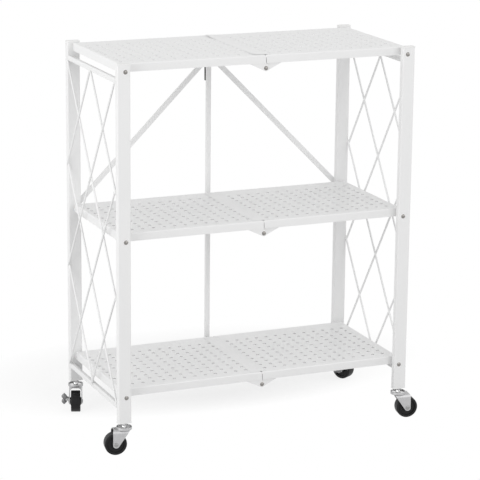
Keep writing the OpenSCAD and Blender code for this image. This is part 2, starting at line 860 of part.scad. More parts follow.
axle(left, front, front_left_heading);  // front_left_axle
fork(right, front, front_right_heading);  // front_right_fork
wheel(right, front, front_right_heading);  // front_right_wheel
axle(right, front, front_right_heading);  // front_right_axle
fork(left, rear, rear_left_heading);  // rear_left_fork
wheel(left, rear, rear_left_heading);  // rear_left_wheel
axle(left, rear, rear_left_heading);  // rear_left_axle
brake_pin(left, rear_left_heading);  // rear_left_brake_pin
brake_lever(left, rear_left_heading);  // rear_left_brake_lever
fork(right, rear, rear_right_heading);  // rear_right_fork
wheel(right, rear, rear_right_heading);  // rear_right_wheel
axle(right, rear, rear_right_heading);  // rear_right_axle
brake_pin(right, rear_right_heading);  // rear_right_brake_pin
brake_lever(right, rear_right_heading);  // rear_right_brake_lever
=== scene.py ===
"""Dress the folding three-tier shelf rack: modelled hardware, finishes, studio and camera.

All sizes are in metres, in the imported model's frame: X to the rack's right, Y to its back and Z up, with the
origin on the floor under the middle of the rack.
"""

import json
import logging
import math
from dataclasses import dataclass
from enum import Enum
from functools import lru_cache
from typing import Callable, Optional, Sequence, Union

import bmesh
import bpy
from mathutils import Matrix, Vector


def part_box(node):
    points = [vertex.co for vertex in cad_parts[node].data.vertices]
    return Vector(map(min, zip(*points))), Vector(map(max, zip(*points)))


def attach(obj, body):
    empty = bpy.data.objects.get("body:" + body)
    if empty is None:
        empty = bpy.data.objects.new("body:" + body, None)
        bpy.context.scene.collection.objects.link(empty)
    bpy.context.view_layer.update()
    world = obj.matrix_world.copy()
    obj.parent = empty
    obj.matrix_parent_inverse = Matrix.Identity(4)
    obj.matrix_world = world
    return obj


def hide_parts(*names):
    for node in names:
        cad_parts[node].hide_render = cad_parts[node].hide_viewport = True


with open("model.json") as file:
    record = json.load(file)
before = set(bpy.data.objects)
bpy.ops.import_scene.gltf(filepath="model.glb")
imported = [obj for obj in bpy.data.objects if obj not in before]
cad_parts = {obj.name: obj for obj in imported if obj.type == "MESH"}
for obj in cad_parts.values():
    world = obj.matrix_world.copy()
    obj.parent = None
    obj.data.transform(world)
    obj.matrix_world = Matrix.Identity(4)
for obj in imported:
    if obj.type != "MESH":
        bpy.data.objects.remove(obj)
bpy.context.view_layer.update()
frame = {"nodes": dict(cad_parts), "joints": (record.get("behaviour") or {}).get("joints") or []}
MM = 0.001
# Edges sharper than this are broken, and points nearer than the gap are merged afterwards.
SHARP = math.radians(35)
WELD_GAP = 0.01 * MM
# Tests that pick faces and edges: how near a place, and how much along, across or square to an axis.
NEAR = 0.1 * MM
FACING = 0.9
ACROSS = 0.1
SQUARE = 0.999
# Gap between surfaces that lie against each other.
SKIN = 0.05 * MM
WHITE = (1.0, 1.0, 1.0, 1.0)
Colour = tuple[float, float, float]
log = logging.getLogger("rack")


class Hand(Enum):
    """An end of the rack, as the sign of X."""

    LEFT = -1
    RIGHT = 1

    @property
    def word(self) -> str:
        """The hand as node names have it."""
        return self.name.lower()


class Tier(Enum):
    """A shelf level, as node names have it."""

    TOP = "top"
    MID = "mid"
    BOTTOM = "bottom"


class Corner(Enum):
    """A caster's corner, as node names have it."""

    FRONT_LEFT = "front_left"
    FRONT_RIGHT = "front_right"
    REAR_LEFT = "rear_left"
    REAR_RIGHT = "rear_right"

    @property
    def braked(self) -> bool:
        """Whether the caster has a brake."""
        return self.value.startswith("rear")


class Cut(Enum):
    """How one solid is combined with another."""

    JOIN = "UNION"
    TAKE_AWAY = "DIFFERENCE"
    KEEP_SHARED = "INTERSECT"


class Socket:
    """A shader socket that takes part in arithmetic, where each operator adds a Math node."""

    def __init__(self, graph: "Graph", socket: bpy.types.NodeSocket) -> None:
        """Wrap a socket of a node in the graph."""
        self.graph = graph
        self.socket = socket

    def _math(self, operation: str, first: "Value", second: "Value") -> "Socket":
        """Add a Math node.

        Args:
            operation: the node's operation.
            first: the first value.
            second: the second value.

        Returns:
            The node's result.
        """
        return self.graph.node("ShaderNodeMath", {"operation": operation}, {0: first, 1: second})

    def __add__(self, other: "Value") -> "Socket":
        """The sum of the two."""
        return self._math("ADD", self, other)

    def __sub__(self, other: "Value") -> "Socket":
        """This less the other."""
        return self._math("SUBTRACT", self, other)

    def __rsub__(self, other: "Value") -> "Socket":
        """The other less this."""
        return self._math("SUBTRACT", other, self)

    def __mul__(self, other: "Value") -> "Socket":
        """The product of the two."""
        return self._math("MULTIPLY", self, other)

    def __pow__(self, other: "Value") -> "Socket":
        """This to the power of the other."""
        return self._math("POWER", self, other)

    def __or__(self, other: "Value") -> "Socket":
        """The greater of the two, which joins two masks."""
        return self._math("MAXIMUM", self, other)

    def __and__(self, other: "Value") -> "Socket":
        """The lesser of the two, which trims one mask by another."""
        return self._math("MINIMUM", self, other)

    __radd__ = __add__
    __rmul__ = __mul__


Value = Union[Socket, float]


class Graph:
    """The node tree of a material or of the world."""

    def __init__(self, tree: bpy.types.NodeTree) -> None:
        """Start from an empty tree."""
        self.tree = tree
        tree.nodes.clear()

    def node(self, kind: str, settings: dict, inputs: dict, output: Union[int, str] = 0) -> Optional[Socket]:
        """Add a node, set it and feed it.

        Args:
            kind: the node's type.
            settings: the node's own settings, which are set first.
            inputs: values or links for its input sockets, by name or number.
            output: the output to give back.

        Returns:
            That output, or None from a node that has none.
        """
        made = self.tree.nodes.new(kind)
        for key, value in settings.items():
            setattr(made, key, value)
        for key, value in inputs.items():
            if isinstance(value, Socket):
                self.tree.links.new(value.socket, made.inputs[key])
            else:
                made.inputs[key].default_value = value
        return Socket(self, made.outputs[output]) if made.outputs else None

    def place(self) -> Socket:
        """The surface point in the rack's own frame."""
        return self.node("ShaderNodeTexCoord", {}, {}, "Object")

    def axis(self, name: str) -> Socket:
        """One coordinate of the surface point."""
        return self.node("ShaderNodeSeparateXYZ", {}, {"Vector": self.place()}, name)

    def stretched(self, scale: Sequence[float]) -> Socket:
        """The surface point with each axis scaled, for a pattern that runs one way."""
        return self.node("ShaderNodeMapping", {}, {"Vector": self.place(), "Scale": tuple(scale)})

    def noise(self, size: float, detail: float = 2.0, where: Optional[Socket] = None) -> Socket:
        """Cloudy noise from 0 to 1.

        Args:
            size: size of a cloud.
            detail: number of finer layers.
            where: the point to read it at, or the surface point.

        Returns:
            The noise value.
        """
        inputs = {"Vector": where or self.place(), "Scale": 1 / size, "Detail": detail}
        return self.node("ShaderNodeTexNoise", {}, inputs, "Fac")

    def cells(self, size: float) -> Socket:
        """Distance to the nearest of scattered points, in cell sizes."""
        return self.node("ShaderNodeTexVoronoi", {}, {"Vector": self.place(), "Scale": 1 / size}, "Distance")

    def blend(self, share: Value, first: Colour, second: Colour) -> Socket:
        """A colour between two, at a share from 0 to 1."""
        inputs = {0: share, 6: (*first, 1.0), 7: (*second, 1.0)}
        return self.node("ShaderNodeMix", {"data_type": "RGBA"}, inputs, 2)

    def bump(self, height: Socket, depth: float) -> Socket:
        """Surface normal over a height pattern of that depth."""
        return self.node("ShaderNodeBump", {}, {"Height": height, "Distance": depth, "Strength": 1.0})


@dataclass(frozen=True)
class Finish:
    """What all finishes share."""

    name: str
    slot: str
    colour: Colour
    roughness: float

    def shade(self, factor: float) -> Colour:
        """The finish's colour, darker or lighter by a factor."""
        red, green, blue = self.colour
        return red * factor, green * factor, blue * factor

    def surface(self, graph: Graph) -> dict:
        """Values and links for the shader's sockets."""
        raise NotImplementedError


@dataclass(frozen=True)
class PowderCoat(Finish):
    """Satin powder coat with a fine orange peel."""

    peel: float = 1.1 * MM
    peel_depth: float = 0.02 * MM
    cloud: float = 90 * MM
    cloud_share: float = 0.7
    tones: tuple[float, float] = (0.975, 1.02)
    gloss_spread: float = 0.12

    def surface(self, graph: Graph) -> dict:
        """A pebbled skin whose tone drifts slightly over the sheet.

        Args:
            graph: the material's node tree.

        Returns:
            Values and links for the shader's sockets.
        """
        pebble = graph.noise(self.peel)
        drift = graph.noise(self.cloud, 3.0)
        mixed = drift * self.cloud_share + pebble * (1 - self.cloud_share)
        return {
            "Base Color": graph.blend(mixed, *map(self.shade, self.tones)),
            "Roughness": self.roughness + (pebble - 0.5) * self.gloss_spread,
            "Normal": graph.bump(pebble, self.peel_depth),
        }


@dataclass(frozen=True)
class MouldedPlastic(Finish):
    """Moulded plastic with a fine spark-eroded grain and faint scuffs."""

    grain: float = 0.45 * MM
    grain_depth: float = 0.012 * MM
    scuff: float = 6 * MM
    scuff_tone: float = 1.35
    sheen: float = 0.5
    grain_share: float = 0.15
    scuff_gloss: float = 0.3
    gloss_spread: float = 0.1

    def surface(self, graph: Graph) -> dict:
        """A grained skin, toned and rougher where it is scuffed.

        Args:
            graph: the material's node tree.

        Returns:
            Values and links for the shader's sockets.
        """
        grain = graph.noise(self.grain)
        scuffs = graph.noise(self.scuff, 6.0) ** 3.0
        mixed = scuffs + grain * self.grain_share
        return {
            "Base Color": graph.blend(mixed, self.colour, self.shade(self.scuff_tone)),
            "Roughness": self.roughness + scuffs * self.scuff_gloss + (grain - 0.5) * self.gloss_spread,
            "Normal": graph.bump(grain, self.grain_depth),
            "Specular IOR Level": self.sheen,
        }


@dataclass(frozen=True)
class ZincPlate(Finish):
    """Bright zinc plate on pressed steel, with crystals and rolling marks."""

    crystal: float = 2.6 * MM
    rolling: float = 0.5 * MM
    rolling_depth: float = 0.006 * MM
    rolling_stretch: float = 0.08
    stain: float = 9 * MM
    crystal_share: float = 0.6
    tones: tuple[float, float] = (0.86, 1.1)
    mark_gloss: float = 0.16
    stain_gloss: float = 0.12

    def surface(self, graph: Graph) -> dict:
        """Metal whose tone follows the crystals and whose gloss follows the rolling marks.

        Args:
            graph: the material's node tree.

        Returns:
            Values and links for the shader's sockets.
        """
        crystal = graph.cells(self.crystal)
        marks = graph.noise(self.rolling, 2.0, graph.stretched((1, 1, self.rolling_stretch)))
        dull = graph.noise(self.stain, 3.0)
        mixed = crystal * self.crystal_share + dull * (1 - self.crystal_share)
        return {
            "Metallic": 1.0,
            "Base Color": graph.blend(mixed, *map(self.shade, self.tones)),
            "Roughness": self.roughness + (marks - 0.5) * self.mark_gloss + (dull - 0.5) * self.stain_gloss,
            "Normal": graph.bump(marks, self.rolling_depth),
        }


@dataclass(frozen=True)
class DarkNickel(Finish):
    """Dark nickel plate on rivets, with a soft polish."""

    mark: float = 0.7 * MM
    mark_depth: float = 0.01 * MM
    tones: tuple[float, float] = (0.8, 1.25)
    gloss_spread: float = 0.15

    def surface(self, graph: Graph) -> dict:
        """Dark metal with small tool marks.

        Args:
            graph: the material's node tree.

        Returns:
            Values and links for the shader's sockets.
        """
        marks = graph.noise(self.mark, 3.0)
        return {
            "Metallic": 1.0,
            "Base Color": graph.blend(marks, *map(self.shade, self.tones)),
            "Roughness": self.roughness + (marks - 0.5) * self.gloss_spread,
            "Normal": graph.bump(marks, self.mark_depth),
        }


@dataclass(frozen=True)
class Nylon(Finish):
    """Natural nylon that lets a little light in."""

    grain: float = 0.6 * MM
    depth_of_light: float = 0.8 * MM
    light_share: float = 0.25
    tones: tuple[float, float] = (0.96, 1.03)
    gloss_spread: float = 0.1

    def surface(self, graph: Graph) -> dict:
        """A waxy skin.

        Args:
            graph: the material's node tree.

        Returns:
            Values and links for the shader's sockets.
        """
        grain = graph.noise(self.grain)
        return {
            "Base Color": graph.blend(grain, *map(self.shade, self.tones)),
            "Roughness": self.roughness + (grain - 0.5) * self.gloss_spread,
            "Subsurface Weight": self.light_share,
            "Subsurface Scale": self.depth_of_light,
        }


@lru_cache(maxsize=None)
def material_of(finish: Finish) -> bpy.types.Material:
    """The material of a finish, made when it is first asked for.

    Args:
        finish: the finish.

    Returns:
        Its material.
    """
    material = bpy.data.materials.new(finish.name)
    material.use_nodes = True
    graph = Graph(material.node_tree)
    shader = graph.node("ShaderNodeBsdfPrincipled", {}, finish.surface(graph))
    graph.node("ShaderNodeOutputMaterial", {}, {"Surface": shader})
    return material


WHITE_COAT = PowderCoat("white_powder_coat", "white_coat", (0.83, 0.83, 0.83), 0.42)
# Coat of the hole lips on the mid and bottom shelves: the white coat darkened to 0.62, which is painted shade
# inside the holes.
HOLE_SHADE_COAT = PowderCoat("painted_hole_shade_coat", "white_coat", (0.62, 0.62, 0.62), 0.5)
WHITE_PLASTIC = MouldedPlastic("white_plastic", "white_plastic", (0.82, 0.82, 0.815), 0.4, scuff_tone=0.97)
ZINC = ZincPlate("zinc_plate", "zinc", (0.47, 0.47, 0.475), 0.42)
DARK_RIVET = DarkNickel("dark_nickel", "dark_rivet", (0.25, 0.24, 0.23), 0.2)
AXLE_STEEL = DarkNickel("axle_steel", "dark_rivet", (0.3, 0.3, 0.3), 0.35)
BRIGHT_ZINC = ZincPlate("polished_zinc", "zinc", (0.86, 0.86, 0.86), 0.16)
NYLON = Nylon("natural_nylon", "nylon", (0.8, 0.8, 0.78), 0.45)
BLACK_WHEEL = MouldedPlastic(
    "black_wheel_plastic", "black_wheel", (0.008, 0.008, 0.0085), 0.4, scuff_tone=2.0, sheen=0.22
)
BLACK_BLOCK = MouldedPlastic(
    "black_plastic", "black_block", (0.012, 0.012, 0.012), 0.45, scuff_tone=1.8, sheen=0.25
)
GREY_LEVER = MouldedPlastic("grey_plastic", "grey_lever", (0.2, 0.2, 0.205), 0.42)


def dress_nodes(finish: Finish, *nodes: str) -> None:
    """Give CAD nodes that stay in view a finish.

    Args:
        finish: the finish.
        nodes: the nodes' names.
    """
    for name in nodes:
        slots = frame["nodes"][name].data.materials
        slots.clear()
        slots.append(material_of(finish))
        log.info("%s keeps its solid, in %s", name, finish.name)


class Workpiece:
    """One mesh, shaped with Blender's operators. Its object stays at the origin."""

    def __init__(self, obj: bpy.types.Object, name: str) -> None:
        """Take an object, name it and move its place into its mesh.

        Args:
            obj: the object.
            name: the piece's name.
        """
        self.obj = obj
        obj.name = obj.data.name = name
        self.focus()
        bpy.ops.object.transform_apply(location=True, rotation=True, scale=True)

    @classmethod
    def box(cls, name: str, low: Vector, high: Vector) -> "Workpiece":
        """Start from a cube between two corners.

        Args:
            name: the piece's name.
            low: the lower corner.
            high: the upper corner.

        Returns:
            The new piece.
        """
        release()
        bpy.ops.mesh.primitive_cube_add(size=1, location=(low + high) / 2)
        bpy.context.object.scale = high - low
        return cls(bpy.context.object, name)

    @classmethod
    def rod(cls, name: str, radius: float, start: Vector, end: Vector, sides: int = 48) -> "Workpiece":
        """Start from a cylinder between two points.

        Args:
            name: the piece's name.
            radius: its radius.
            start: the middle of one end.
            end: the middle of the other end.
            sides: the number of its sides.

        Returns:
            The new piece.
        """
        release()
        along = end - start
        bpy.ops.mesh.primitive_cylinder_add(
            vertices=sides,
            radius=radius,
            depth=along.length,
            location=(start + end) / 2,
            rotation=along.to_track_quat("Z", "Y").to_euler(),
        )
        return cls(bpy.context.object, name)

    @classmethod
    def sheet(cls, name: str, low: Vector, high: Vector) -> "Workpiece":
        """Start from a level plane between two corners.

        Args:
            name: the piece's name.
            low: the corner with the least X and Y.
            high: the corner across from it, at the same height.

        Returns:
            The new piece.
        """
        release()
        bpy.ops.mesh.primitive_plane_add(size=1, location=(low + high) / 2)
        bpy.context.object.scale = (high.x - low.x, high.y - low.y, 1)
        return cls(bpy.context.object, name)

    @classmethod
    def joined(cls, pieces: Sequence["Workpiece"], name: str) -> "Workpiece":
        """Make several meshes one.

        Args:
            pieces: the pieces, which are used up.
            name: the new piece's name.

        Returns:
            The new piece.
        """
        pieces[0].focus()
        for piece in pieces:
            piece.obj.select_set(True)
        bpy.ops.object.join()
        return cls(bpy.context.object, name)

    def focus(self) -> None:
        """Leave edit mode, and make this the one selected object."""
        release()
        self.obj.select_set(True)
        bpy.context.view_layer.objects.active = self.obj

    def _edit(self, mode: str) -> bmesh.types.BMesh:
        """Enter edit mode in a selection mode, with nothing selected.

        Args:
            mode: the selection mode: VERT, EDGE or FACE.

        Returns:
            The mesh under edit.
        """
        self.focus()
        bpy.ops.object.mode_set(mode="EDIT")
        bpy.ops.mesh.select_mode(type=mode)
        bpy.ops.mesh.select_all(action="DESELECT")
        return bmesh.from_edit_mesh(self.obj.data)

    def faces(self, test: Callable[[Vector, Vector], bool]) -> "Workpiece":
        """Select the faces that pass a test.

        Args:
            test: takes a face's middle and normal.

        Returns:
            This piece.
        """
        mesh = self._edit("FACE")
        for face in mesh.faces:
            face.select_set(test(face.calc_center_median(), face.normal))
        bmesh.update_edit_mesh(self.obj.data)
        return self

    def edges(self, test: Callable[[Vector, Vector], bool]) -> "Workpiece":
        """Select the edges that pass a test.

        Args:
            test: takes an edge's middle and its direction of unit length.

        Returns:
            This piece.
        """
        mesh = self._edit("EDGE")
        for edge in mesh.edges:
            first, last = (v.co for v in edge.verts)
            edge.select_set(test((first + last) / 2, (last - first).normalized()))
        bmesh.update_edit_mesh(self.obj.data)
        return self

    def extrude(self, x: float = 0, y: float = 0, z: float = 0) -> "Workpiece":
        """Extrude what is selected by an offset."""
        bpy.ops.mesh.extrude_region_move(TRANSFORM_OT_translate={"value": (x, y, z)})
        return self

    def inset(self, width: float) -> "Workpiece":
        """Inset the selected faces."""
        bpy.ops.mesh.inset(thickness=width, depth=0)
        return self

    def resize(self, scale: Sequence[float], about: Vector) -> "Workpiece":
        """Scale what is selected about a point."""
        bpy.ops.transform.resize(value=tuple(scale), center_override=tuple(about))
        return self

    def bevel(self, width: float, segments: int) -> "Workpiece":
        """Round the selected edges."""
        bpy.ops.mesh.bevel(offset=width, segments=segments, affect="EDGES")
        return self

    def lift(self, height: float) -> "Workpiece":
        """Move what is selected up."""
        bpy.ops.transform.translate(value=(0, 0, height))
        return self

    def divide(self, cuts: int) -> "Workpiece":
        """Divide the selected edges evenly."""
        bpy.ops.mesh.subdivide(number_cuts=cuts)
        return self

    def open(self) -> "Workpiece":
        """Delete the selected faces."""
        bpy.ops.mesh.delete(type="FACE")
        return self

    def flip(self) -> "Workpiece":
        """Turn all faces over.

        Returns:
            This piece.
        """
        self._edit("FACE")
        bpy.ops.mesh.select_all(action="SELECT")
        bpy.ops.mesh.flip_normals()
        return self

    def repeat(self, count: int, step: Vector) -> "Workpiece":
        """Repeat the piece in a row.

        Args:
            count: how many there are then.
            step: the way from one to the next.

        Returns:
            This piece.
        """
        return self.modify(
            "ARRAY",
            count=count,
            use_relative_offset=False,
            use_constant_offset=True,
            constant_offset_displace=step,
        )

    def hull(self) -> "Workpiece":
        """Close the mesh into its convex hull.

        Returns:
            This piece.
        """
        self._edit("VERT")
        bpy.ops.mesh.select_all(action="SELECT")
        bpy.ops.mesh.convex_hull()
        return self

    def modify(self, kind: str, **settings: object) -> "Workpiece":
        """Apply a modifier.

        Args:
            kind: the modifier's type.
            settings: its settings.

        Returns:
            This piece.
        """
        self.focus()
        modifier = self.obj.modifiers.new(kind.lower(), kind)
        for key, value in settings.items():
            setattr(modifier, key, value)
        bpy.ops.object.modifier_apply(modifier=modifier.name)
        return self

    def combine(self, cut: Cut, other: "Workpiece") -> "Workpiece":
        """Join, cut or trim with another piece, which is used up.

        Args:
            cut: how the two are combined.
            other: the other piece.

        Returns:
            This piece.
        """
        other.focus()
        self.modify("BOOLEAN", operation=cut.value, object=other.obj, solver="EXACT")
        bpy.data.objects.remove(other.obj)
        return self

    def soften(self, width: float, segments: int = 2) -> "Workpiece":
        """Break all sharp edges, merge what met in tight corners, and shade the piece smooth.

        Args:
            width: how far the break reaches from the edge.
            segments: the number of faces across it.

        Returns:
            This piece.
        """
        self.modify(
            "BEVEL",
            width=width,
            segments=segments,
            limit_method="ANGLE",
            angle_limit=SHARP,
            use_clamp_overlap=True,
        )
        return self.modify("WELD", merge_threshold=WELD_GAP).smooth()

    def smooth(self) -> "Workpiece":
        """Shade the piece smooth except at sharp edges.

        Returns:
            This piece.
        """
        self.focus()
        bpy.ops.object.shade_smooth_by_angle(angle=SHARP)
        return self

    def turned(self, turn: Matrix) -> "Workpiece":
        """Move the mesh by a matrix.

        Args:
            turn: the matrix.

        Returns:
            This piece.
        """
        self.focus()
        self.obj.matrix_world = turn
        bpy.ops.object.transform_apply(location=True, rotation=True, scale=True)
        return self

    def copy(self, name: str, turn: Matrix) -> "Workpiece":
        """Make a copy with its own mesh, moved by a matrix.

        Args:
            name: the copy's name.
            turn: the matrix.

        Returns:
            The copy.
        """
        twin = self.obj.copy()
        twin.data = self.obj.data.copy()
        bpy.context.scene.collection.objects.link(twin)
        return Workpiece(twin, name).turned(turn)

    def discard(self) -> None:
        """Remove a pattern piece after its copies are made."""
        self.focus()
        bpy.data.objects.remove(self.obj)

    def fit(self, finish: Finish, body: str, *nodes: str) -> None:
        """Give the piece its finish and set it on a body.

        Args:
            finish: the finish.
            body: the CAD body that it rides on.
            nodes: the CAD nodes that it stands for.
        """
        self.focus()
        self.obj.data.materials.clear()
        self.obj.data.materials.append(material_of(finish))
        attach(self.obj, body)
        if nodes:
            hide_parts(*nodes)
        count = len(self.obj.data.polygons)
        log.info("%s rides on %s, in %s, %d faces", self.obj.name, body, finish.name, count)


def release() -> None:
    """Leave edit mode and deselect everything."""
    if bpy.context.object and bpy.context.object.mode != "OBJECT":
        bpy.ops.object.mode_set(mode="OBJECT")
    bpy.ops.object.select_all(action="DESELECT")


def joint_of(name: str) -> dict:
    """The record of one joint.

    Args:
        name: the joint's name.

    Returns:
        Its record, with its place and axis.
    """
    return next(joint for joint in frame["joints"] if joint["name"] == name)


@dataclass
class EndFrame:
    """One end of the rack: posts, crossbars, lattice wires, caps, inserts, rivets and spacer bushes."""

    hand: Hand
    cap_height: float = 3 * MM
    cap_corner: float = 2.5 * MM
    cap_crown: float = 1.3 * MM
    plug_inset: float = 1.9 * MM
    bar_height: float = 11.5 * MM
    bar_round: float = 1.6 * MM
    lattice_levels: int = 3
    bead_radius: float = 2.9 * MM
    bead_scale: tuple[float, float, float] = (0.9, 0.8, 1.5)

    def node(self, name: str) -> str:
        """A node's full name at this end."""
        return f"{self.hand.word}_{name}"

    @property
    def body(self) -> str:
        """The body that all of it rides on."""
        return self.node("frame")

    def build(self) -> None:
        """Model what is modelled and dress what stays."""
        self.build_caps()
        self.build_bars()
        self.build_beads()
        for name in ("front_post", "rear_post", "wires_fore", "wires_aft"):
            dress_nodes(WHITE_COAT, self.node(name))
        dress_nodes(WHITE_PLASTIC, self.node("caster_inserts"))
        dress_nodes(DARK_RIVET, self.node("pivot_rivets"))
        dress_nodes(NYLON, self.node("pivot_washers"))

    def build_caps(self) -> None:
        """Crowned caps with plugs in the two post tops."""
        low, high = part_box(self.node("post_caps"))
        post_low, post_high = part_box(self.node("front_post"))
        depth = post_high.y - post_low.y + (high.x - low.x) - (post_high.x - post_low.x)
        caps = []
        for start in (low.y, high.y - depth):
            foot = Vector((low.x, start, high.z - self.cap_height))
            cap = Workpiece.box("cap", foot, Vector((high.x, start + depth, high.z)))
            cap.edges(lambda middle, along: abs(along.z) > FACING).bevel(self.cap_corner, 4)
            cap.edges(lambda middle, along: middle.z > high.z - NEAR).bevel(self.cap_crown, 4)
            cap.faces(lambda middle, normal: normal.z < -FACING).inset(self.plug_inset)
            cap.extrude(z=low.z - high.z + self.cap_height)
            caps.append(cap.smooth())
        crowned = Workpiece.joined(caps, self.node("crowned_caps"))
        crowned.fit(WHITE_PLASTIC, self.body, self.node("post_caps"))

    def build_bars(self) -> None:
        """Top and bottom crossbars with rolled edges."""
        low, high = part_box(self.node("crossbars"))
        bars = []
        for z in (low.z, high.z - self.bar_height):
            far = Vector((high.x, high.y, z + self.bar_height))
            bar = Workpiece.box("bar", Vector((low.x, low.y, z)), far)
            bar.edges(lambda middle, along: abs(along.y) > FACING).bevel(self.bar_round, 4)
            bars.append(bar.smooth())
        Workpiece.joined(bars, self.node("rolled_bars")).fit(WHITE_COAT, self.body, self.node("crossbars"))

    def build_beads(self) -> None:
        """Weld beads where the lattice wires meet each other, the posts and the crossbars."""
        low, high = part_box(self.node("wires_fore"))
        inner, outer = (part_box(self.node(name)) for name in ("wires_fore", "wires_aft"))
        middle_x = (inner[0].x + inner[1].x + outer[0].x + outer[1].x) / 4
        step = (high.z - low.z) / self.lattice_levels
        count = self.lattice_levels + 1
        beads = []
        for i in range(count):
            for j in range(count):
                y = (i - j) / 2 * high.y
                if abs(y) < high.y + NEAR:
                    beads.append(self.bead(Vector((middle_x, y, high.z - (i + j) / 2 * step))))
        Workpiece.joined(beads, self.node("weld_beads")).fit(WHITE_COAT, self.body)

    def bead(self, place: Vector) -> Workpiece:
        """One flattened weld bead under its coat.

        Args:
            place: its middle.

        Returns:
            The bead.
        """
        release()
        bpy.ops.mesh.primitive_ico_sphere_add(subdivisions=2, radius=self.bead_radius, location=place)
        bead = Workpiece(bpy.context.object, "bead")
        bead.faces(lambda middle, normal: True).resize(self.bead_scale, place)
        return bead.smooth()


@dataclass
class ShelfTier:
    """One shelf: two perforated halves, hinge plates, rivets, drawn hole lips and the lap over the seam."""

    tier: Tier
    columns: int = 13
    rows: int = 10
    column_pitch: float = 25 * MM
    row_pitch: float = 24.5 * MM
    row_shift: float = -12 * MM
    left_start: float = 29 * MM
    right_start: float = 18 * MM
    hole_radius: float = 4 * MM
    sheet: float = 0.9 * MM
    lip_depth: float = 2.1 * MM
    lip_wall: float = 0.5 * MM
    lap_reach: float = 25 * MM
    lap_root: float = 12 * MM
    lap_half: float = 143.5 * MM
    lap_sheet: float = 0.25 * MM
    lap_round: float = 0.08 * MM
    lap_parts: int = 12
    lift_shares: tuple[float, ...] = (1.0, 0.6, 0.28, 0.08)
    rear_lift: float = 0.3 * MM
    front_lift: float = 0.2 * MM
    # Coat of the hole lips; the default is the darker coat, which paints shade into the holes.
    lip_finish_and_shade: Finish = HOLE_SHADE_COAT

    def build(self) -> None:
        """Dress the solids, which already have the bent edges and the holes, and add the lips and the lap."""
        name = self.tier.value
        for hand in Hand:
            dress_nodes(WHITE_COAT, f"{name}_{hand.word}_shelf", f"{name}_{hand.word}_hinge_plates")
        dress_nodes(DARK_RIVET, f"{name}_hinge_rivets")
        self.build_lips()
        self.build_lap()

    @property
    def top(self) -> float:
        """Height of the shelf's upper face."""
        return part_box(f"{self.tier.value}_left_shelf")[1].z

    def build_lips(self) -> None:
        """Drawn lips in the holes, modelled once and repeated along the columns and the rows; on the mid and
        bottom shelves their coat is darker than the sheet, which is painted shade in the holes.
        """
        radius = self.hole_radius - SKIN
        low, high = self.top - self.lip_depth, self.top - SKIN
        lips = Workpiece.rod("lips", radius, Vector((0, 0, low)), Vector((0, 0, high)), 16)
        lips.faces(lambda middle, normal: abs(normal.z) > FACING).open()
        swell = (radius + self.lip_wall) / radius
        lips.edges(lambda middle, along: middle.z < low + NEAR).extrude()
        lips.resize((swell, swell, 1), Vector((0, 0, low))).extrude(z=self.lip_depth - self.sheet - SKIN)
        lips.flip().smooth()
        lips.repeat(self.columns, Vector((self.column_pitch, 0, 0)))
        lips.repeat(self.rows, Vector((0, self.row_pitch, 0)))
        first_row = self.row_shift - (self.rows - 1) / 2 * self.row_pitch
        far_left = -self.left_start - (self.columns - 1) * self.column_pitch
        for hand, start in ((Hand.LEFT, far_left), (Hand.RIGHT, self.right_start)):
            body = f"{self.tier.value}_{hand.word}"
            shift = Matrix.Translation((start, first_row, 0))
            lips.copy(f"{body}_hole_lips", shift).fit(self.lip_finish_and_shade, body)
        lips.discard()

    def build_lap(self) -> None:
        """Thin lap of the right half over the seam, with its free corners a little lifted."""
        base = self.top + SKIN
        lap = Workpiece.box(
            f"{self.tier.value}_seam_lap",
            Vector((-self.lap_reach, -self.lap_half, base)),
            Vector((self.lap_root, self.lap_half, base + self.lap_sheet)),
        )
        lap.edges(lambda middle, along: abs(along.y) > FACING).divide(self.lap_parts - 1)
        step = 2 * self.lap_half / self.lap_parts
        for end, lift in ((1, self.rear_lift), (-1, self.front_lift)):
            for place, share in enumerate(self.lift_shares):
                y = end * (self.lap_half - place * step)
                lap.edges(lambda at, along: at.x < NEAR - self.lap_reach and abs(at.y - y) < NEAR)
                lap.lift(share * lift)
        lap.soften(self.lap_round).fit(WHITE_COAT, f"{self.tier.value}_right")


